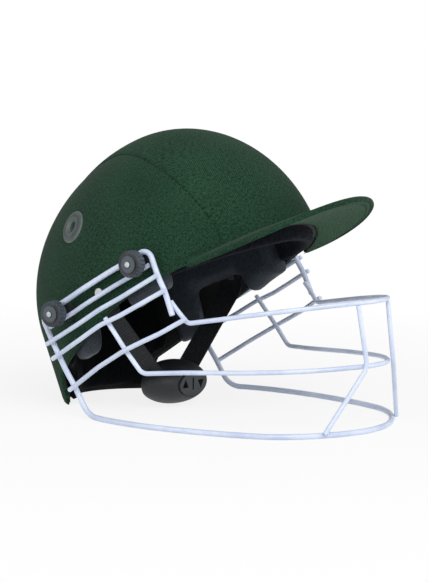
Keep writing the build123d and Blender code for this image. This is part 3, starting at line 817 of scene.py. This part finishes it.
def pad_body(name, turns, outer, inner, low, high, side=1):
    """A sewn pad that follows the form between two depths under it, drawn in at its ends."""
    sections = []
    for index, turn in enumerate(turns):
        bottom = low(turn)
        ends = (0.25, 0.7, 0.92, 1.0)[min(index, len(turns) - 1 - index, 3)]
        mid_height = (bottom + high) / 2
        half_height = (high - bottom) / 2 * (0.9 + 0.1 * ends)
        ring = []
        for a in full_turn(28):
            c, s = math.cos(a), math.sin(a)
            across = math.copysign(abs(c) ** 0.55, c)
            height = mid_height + half_height * math.copysign(abs(s) ** 0.45, s)
            near = outer(turn, height) if callable(outer) else outer
            depth = (near + inner) / 2 + (inner - near) / 2 * math.sqrt(ends) * across
            back = -(form_length(turn) - depth) * math.cos(turn)
            ring.append(((HALF_WIDTH - depth) * math.sin(turn) * side, back, height))
        sections.append(from_head(np.array(ring)))
    return sweep_sections(name, sections)


def bake_modifiers(piece):
    """Give a piece the mesh that its modifiers make, and take them off."""
    graph = bpy.context.evaluated_depsgraph_get()
    made = bpy.data.meshes.new_from_object(piece.evaluated_get(graph))
    piece.modifiers.clear()
    piece.data = made
    return made


def form_normals(points):
    """Directions out of the head form at points in millimetres."""
    away = points - HEAD_ORIGIN
    local = np.c_[
        away[:, 0] / HALF_WIDTH**2,
        (away @ BACKWARD) / MEAN_LENGTH**2,
        np.maximum(away @ UPWARD, 0) / CROWN_HEIGHT**2,
    ]
    return units(local[:, :1] * np.array([1.0, 0, 0]) + local[:, 1:2] * BACKWARD + local[:, 2:3] * UPWARD)


SWELL_STEPS = 20


def swell(piece, voxel_mm, cap_mm):
    """Blow a pad up inside its own cloth, keeping it off the shell and within cap_mm of its sewn shape."""
    scene = bpy.context.scene
    bpy.context.view_layer.update()
    remesh = piece.modifiers.new("even cloth", "REMESH")
    remesh.mode = "VOXEL"
    remesh.voxel_size = voxel_mm * MM
    remesh.use_smooth_shade = True
    even = bake_modifiers(piece)
    start = read_points(even)
    cloth = piece.modifiers.new("cloth", "CLOTH")
    cloth.settings.quality = 4
    cloth.settings.mass = 0.15
    cloth.settings.use_pressure = True
    cloth.settings.uniform_pressure_force = 4.0
    cloth.settings.effector_weights.gravity = 0.0
    cloth.point_cache.frame_start = 1
    cloth.point_cache.frame_end = SWELL_STEPS
    for step in range(1, SWELL_STEPS + 1):
        scene.frame_set(step)
    graph = bpy.context.evaluated_depsgraph_get()
    moved = read_points(piece.evaluated_get(graph).data)
    piece.modifiers.clear()
    scene.frame_set(1)
    if len(moved) != len(start):
        raise RuntimeError(piece.name + " changed its points while it was blown up")
    shift = (moved - start) * 1000
    normal = form_normals(start * 1000)
    shift -= normal * np.maximum(np.sum(shift * normal, axis=1), 0.0)[:, None]
    length = np.linalg.norm(shift, axis=1)
    shift *= np.minimum(1.0, cap_mm / np.maximum(length, 1e-9))[:, None]
    even.vertices.foreach_set("co", (start + shift * MM).ravel())
    even.update()
    finer = piece.modifiers.new("finer", "SUBSURF")
    finer.levels = finer.render_levels = 1
    shade_smooth(bake_modifiers(piece))


def strap_notch(back):
    """How much the ear pad makes room for the strap."""
    return float(np.clip(smooth_step(back, 4.0, 1.6) - smooth_step(back, 60.0, 1.6), 0, 1))


def ear_outer(turn, height):
    """The ear pad's outer face: against the shell, but drawn in where the strap passes, and less so above it."""
    full = 13.2 - 3.8 * smooth_step(height, 24.0, 1.5)
    return PAD_OUTER + (full - PAD_OUTER) * strap_notch(form_point(turn, 0, 18)[1])


def ear_low(turn):
    """The ear pad's lower edge, hanging lower in two lobes and drawn up at the strap."""
    back = form_point(turn, 0, 18)[1]
    lobe = smooth_step(back, -16.0, 6.0) - smooth_step(back, 76.0, 3.0)
    drop = float(rim_height(back)) + EAR_OVER_RIM - LOBE_HANG * lobe
    return drop + max(0.0, -0.6 - drop) * strap_notch(back)


def nape_low(turn):
    return float(rim_height(form_point(turn, 0, 5)[1])) + NAPE_OVER_RIM


def crown_cushion():
    """A dished cushion with crossing channels on the head side, as rings round the crown."""
    climbs = [CROWN_HEIGHT * math.asin(height / CROWN_HEIGHT) for height in np.linspace(CROWN_LOW, CROWN_HIGH, 16)]
    turns = full_turn(96)

    def ring(climb, inset, groove=0.0):
        made = []
        for turn in turns:
            point = form_point(turn, climb, inset)
            channel = bell(min(abs(point[0]), abs(point[1])), 0.0, CHANNEL_HALF) * groove
            made.append(form_point(turn, climb, inset - channel))
        return from_head(np.array(made))

    rings = [ring(climb, CROWN_OUTER) for climb in climbs]
    rings += [ring(CROWN_HEIGHT * (math.pi / 2 - 0.12), inset) for inset in (CROWN_OUTER, 8.0, 12.0)]
    rings += [ring(climb + 1.0, CROWN_INNER, CHANNEL_DEPTH) for climb in reversed(climbs)]
    rings += [ring(climbs[0] - drop, inset) for drop, inset in ((1.0, 13.5), (2.0, 10.0), (1.0, 6.6))]
    faces = sheet_faces(len(rings), len(turns), round_rows=True, round_columns=True)
    return mesh_piece("crown_cushion", np.concatenate(rings), faces)


class HELMET_OT_padding(bpy.types.Operator):
    """Headband, side pads, neck pad and crown pad"""

    bl_idname = "helmet.padding"
    bl_label = "Padding"

    def execute(self, context):
        wide = turn_at(-37.5, 12)
        turns = np.linspace(-wide, wide, 90)
        band = pad_body("brow_band", turns, PAD_OUTER, BAND_INNER, lambda turn: BAND_LOW, BAND_HIGH)
        swell(band, 2.6, 1.6)
        # The brow band's pile carries painted shade: its navy darkened almost to black
        place(band, "towelling pile", "headgear", ["headband"])
        for side, label in SIDES:
            turns = np.linspace(turn_at(-38.0, 18), turn_at(87, 18), 110)
            pad = pad_body("ear_pad_" + label, turns, ear_outer, EAR_INNER, ear_low, EAR_HIGH, side)
            swell(pad, 3.0, 2.2)
            place(pad, "grey foam cloth", "headgear", ["side_pad_" + label])
        rear = turn_at(99.5, 11)
        turns = np.linspace(rear, 2 * math.pi - rear, 80)
        neck = pad_body("nape_pad", turns, NAPE_OUTER, NAPE_INNER, nape_low, NAPE_HIGH)
        swell(neck, 3.0, 2.2)
        place(neck, "black foam cloth", "headgear", ["neck_pad"])
        crown = crown_cushion()
        swell(crown, 4.0, 2.5)
        place(crown, "black foam cloth", "headgear", ["crown_pad"])
        return {"FINISHED"}


class HELMET_OT_hard_finishes(bpy.types.Operator):
    """Finishes of the shell, board, eyelets, wires, knobs and fasteners"""

    bl_idname = "helmet.hard_finishes"
    bl_label = "Hard finishes"

    def execute(self, context):
        looks = {
            "shell": "moulded shell",
            "peak_board": "stiff board",
            "vent_eyelet_left": "eyelet nylon",
            "vent_eyelet_right": "eyelet nylon",
            "clamp_studs": "zinc plate",
            "strap_rivets": "zinc plate",
            "clamp_spacers": "spacer rubber",
            "clamp_washers": "knob nylon",
            "chin_cup": "cup polypropylene",
        }
        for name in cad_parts:
            if name.startswith("knob_"):
                looks[name] = "knob nylon"
            elif "wire" in name or name.endswith("_bar") or name.startswith("front_bar"):
                looks[name] = "powder coat"
        for name, look in looks.items():
            dress(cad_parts[name], finish(look))
            shade_smooth(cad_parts[name].data)
        return {"FINISHED"}


def strap_line():
    """The strap's middle line: straight down, round a bend, and straight in to the cup."""
    leave = STRAP_CORNER + unit(STRAP_END - STRAP_CORNER) * STRAP_BEND_RUN
    arrive = STRAP_CORNER - unit(STRAP_CORNER - STRAP_TOP) * STRAP_BEND_RUN
    line = [STRAP_TOP + (arrive - STRAP_TOP) * t for t in np.linspace(0, 1, 8)]
    for t in np.linspace(0.08, 0.92, 10):
        line.append((1 - t) ** 2 * arrive + 2 * t * (1 - t) * STRAP_CORNER + t**2 * leave)
    line += [leave + (STRAP_END - leave) * t for t in np.linspace(0, 1, 30)]
    return np.array(line)


class HELMET_OT_straps(bpy.types.Operator):
    """Flat webbing from the rivets to the chin cup"""

    bl_idname = "helmet.straps"
    bl_label = "Straps"

    def execute(self, context):
        line = strap_line()
        along = run_length(line)
        tangents = units(np.gradient(line, axis=0))
        for side, label in SIDES:
            sections = []
            for index, (point, tangent) in enumerate(zip(line, tangents)):
                normal = np.array([tangent[1], -tangent[0]])
                # The end at the rivet is cut to a rounded tongue
                tongue = min(1.0, 0.55 + 0.11 * index)
                ring = []
                for a in full_turn(32):
                    c, s = math.cos(a), math.sin(a)
                    wide = WEBBING_HALF_WIDTH * tongue * math.copysign(abs(c) ** 0.35, c)
                    # The selvedges are a little thinner just inside their edge
                    edge = 1.0 - 0.25 * bell(abs(wide), 9.6, 0.7)
                    thick = WEBBING_HALF_THICKNESS * math.copysign(abs(s) ** 0.5, s) * edge
                    flat = point + normal * thick
                    ring.append((flat[0] * side, STRAP_BACK + wide, flat[1]))
                sections.append(np.array(ring))
            flat = np.array([np.c_[section[:, 1], np.full(len(section), a)] for section, a in zip(sections, along)])
            strap = sweep_sections("webbing_" + label, sections, cloth=flat)
            place(strap, "polyester webbing", "chin_strap", ["strap_" + label])
        return {"FINISHED"}


def add_floor():
    """Pale matt paper that the camera sees fading out to white."""
    material, tree = fresh_material("studio paper")
    path = node(tree, "ShaderNodeLightPath", (-3, 2)).outputs
    rays = {0: path["Is Camera Ray"], 1: path["Is Glossy Ray"]}
    seen = node(tree, "ShaderNodeMath", (-2, 2), {"operation": "MAXIMUM"}, rays)
    matt = node(tree, "ShaderNodeBsdfDiffuse", (-1, 0), {"Color": linear("#F4F4F4")})
    white = node(tree, "ShaderNodeEmission", (-1, 1), {"Color": (1, 1, 1, 1), "Strength": 1.0})
    where = node(tree, "ShaderNodeNewGeometry", (-4, 4)).outputs["Position"]
    far = node(tree, "ShaderNodeVectorMath", (-3, 4), {"operation": "LENGTH"}, {0: where})
    fade = map_range(tree, (-2, 4), far.outputs["Value"], (0.25, 0.8), (0.84, 1.0))
    share = node(tree, "ShaderNodeMath", (0, 2), {"operation": "MULTIPLY"}, {0: seen.outputs[0], 1: fade})
    mixed = {0: share.outputs[0], 1: matt.outputs["BSDF"], 2: white.outputs["Emission"]}
    mix = node(tree, "ShaderNodeMixShader", (1, 0), None, mixed)
    node(tree, "ShaderNodeOutputMaterial", (2, 0), None, {"Surface": mix.outputs["Shader"]})
    corners = [(FLOOR_HALF * x, FLOOR_HALF * y, 0) for x, y in ((-1, -1), (1, -1), (1, 1), (-1, 1))]
    floor = mesh_piece("studio_floor", corners, [(0, 1, 2, 3)], smooth=False)
    dress(floor, material)


def add_room(scene):
    """A soft room that lights the helmet weakly and that the camera sees as white."""
    world = bpy.data.worlds.new("soft room")
    scene.world = world
    world.use_nodes = True
    tree = world.node_tree
    tree.nodes.clear()
    path = node(tree, "ShaderNodeLightPath", (-3, 2))
    room = node(tree, "ShaderNodeBackground", (-1, 1), {"Color": (1, 1, 1, 1), "Strength": 0.32})
    seen = node(tree, "ShaderNodeBackground", (-1, 0), {"Color": (1, 1, 1, 1), "Strength": 1.0})
    mixed = {0: path.outputs["Is Camera Ray"], 1: room.outputs["Background"], 2: seen.outputs["Background"]}
    mix = node(tree, "ShaderNodeMixShader", (1, 0), None, mixed)
    node(tree, "ShaderNodeOutputWorld", (2, 0), None, {"Surface": mix.outputs["Shader"]})


def add_lights(scene):
    """Three soft windows, aimed at the middle of the helmet: place in metres, size and power."""
    middle = Vector((0, 0, 0.12))
    for name, spot, size, power in (
        ("key window", (-0.9, -1.3, 1.5), 1.4, 27.0),
        ("fill window", (-1.6, 0.6, 0.9), 1.6, 10.0),
        ("front bounce", (0.9, -1.5, 0.5), 1.2, 8.0),
    ):
        light = bpy.data.lights.new(name, "AREA")
        light.energy = power
        light.size = size
        lamp = bpy.data.objects.new(name, light)
        lamp.location = spot
        lamp.rotation_euler = (middle - Vector(spot)).to_track_quat("-Z", "Y").to_euler()
        scene.collection.objects.link(lamp)


def add_camera(scene):
    """The camera of the photograph."""
    level = math.cos(CAMERA_ELEVATION)
    back = Vector((math.sin(CAMERA_AZIMUTH) * level, -math.cos(CAMERA_AZIMUTH) * level, math.sin(CAMERA_ELEVATION)))
    right = Vector((math.cos(CAMERA_AZIMUTH), math.sin(CAMERA_AZIMUTH), 0))
    up = back.cross(right)
    turned_right = right * math.cos(CAMERA_ROLL) + up * math.sin(CAMERA_ROLL)
    turned_up = up * math.cos(CAMERA_ROLL) - right * math.sin(CAMERA_ROLL)
    data = bpy.data.cameras.new("photo camera")
    data.lens = FOCAL_PIXELS / PICTURE_HEIGHT * SENSOR_WIDTH
    data.sensor_width = SENSOR_WIDTH
    data.clip_end = 50
    camera = bpy.data.objects.new("photo camera", data)
    camera.matrix_world = Matrix((turned_right, turned_up, back)).transposed().to_4x4()
    camera.location = CAMERA_AIM + back * CAMERA_DISTANCE
    scene.collection.objects.link(camera)
    scene.camera = camera


class HELMET_OT_stage(bpy.types.Operator):
    """Pale floor and backdrop, soft lights and the camera of the photograph"""

    bl_idname = "helmet.stage"
    bl_label = "Stage"

    def execute(self, context):
        add_floor()
        add_room(context.scene)
        add_lights(context.scene)
        add_camera(context.scene)
        context.scene.view_settings.view_transform = "Standard"
        return {"FINISHED"}


class HELMET_PT_sidebar(bpy.types.Panel):
    """Buttons for each group of pieces"""

    bl_idname = "HELMET_PT_sidebar"
    bl_label = "Cricket helmet"
    bl_space_type = "VIEW_3D"
    bl_region_type = "UI"
    bl_category = "Helmet"

    def draw(self, context):
        layout = self.layout
        for step in STEPS:
            layout.operator(step.bl_idname)
        options = context.scene.helmet_dressing
        for name in HelmetDressing.__annotations__:
            layout.prop(options, name)


STEPS = (
    HELMET_OT_hard_finishes,
    HELMET_OT_cloth_cover,
    HELMET_OT_peak,
    HELMET_OT_padding,
    HELMET_OT_straps,
    HELMET_OT_stage,
)
CLASSES = (HelmetDressing, *STEPS, HELMET_PT_sidebar)


def register():
    for item in CLASSES:
        bpy.utils.register_class(item)
    bpy.types.Scene.helmet_dressing = bpy.props.PointerProperty(type=HelmetDressing)


def unregister():
    del bpy.types.Scene.helmet_dressing
    for item in reversed(CLASSES):
        bpy.utils.unregister_class(item)


def main():
    register()
    bpy.ops.helmet.stage()
    bpy.ops.helmet.hard_finishes()
    bpy.ops.helmet.cloth_cover()
    bpy.ops.helmet.peak()
    bpy.ops.helmet.padding()
    bpy.ops.helmet.straps()


if __name__ == "__main__":
    main()
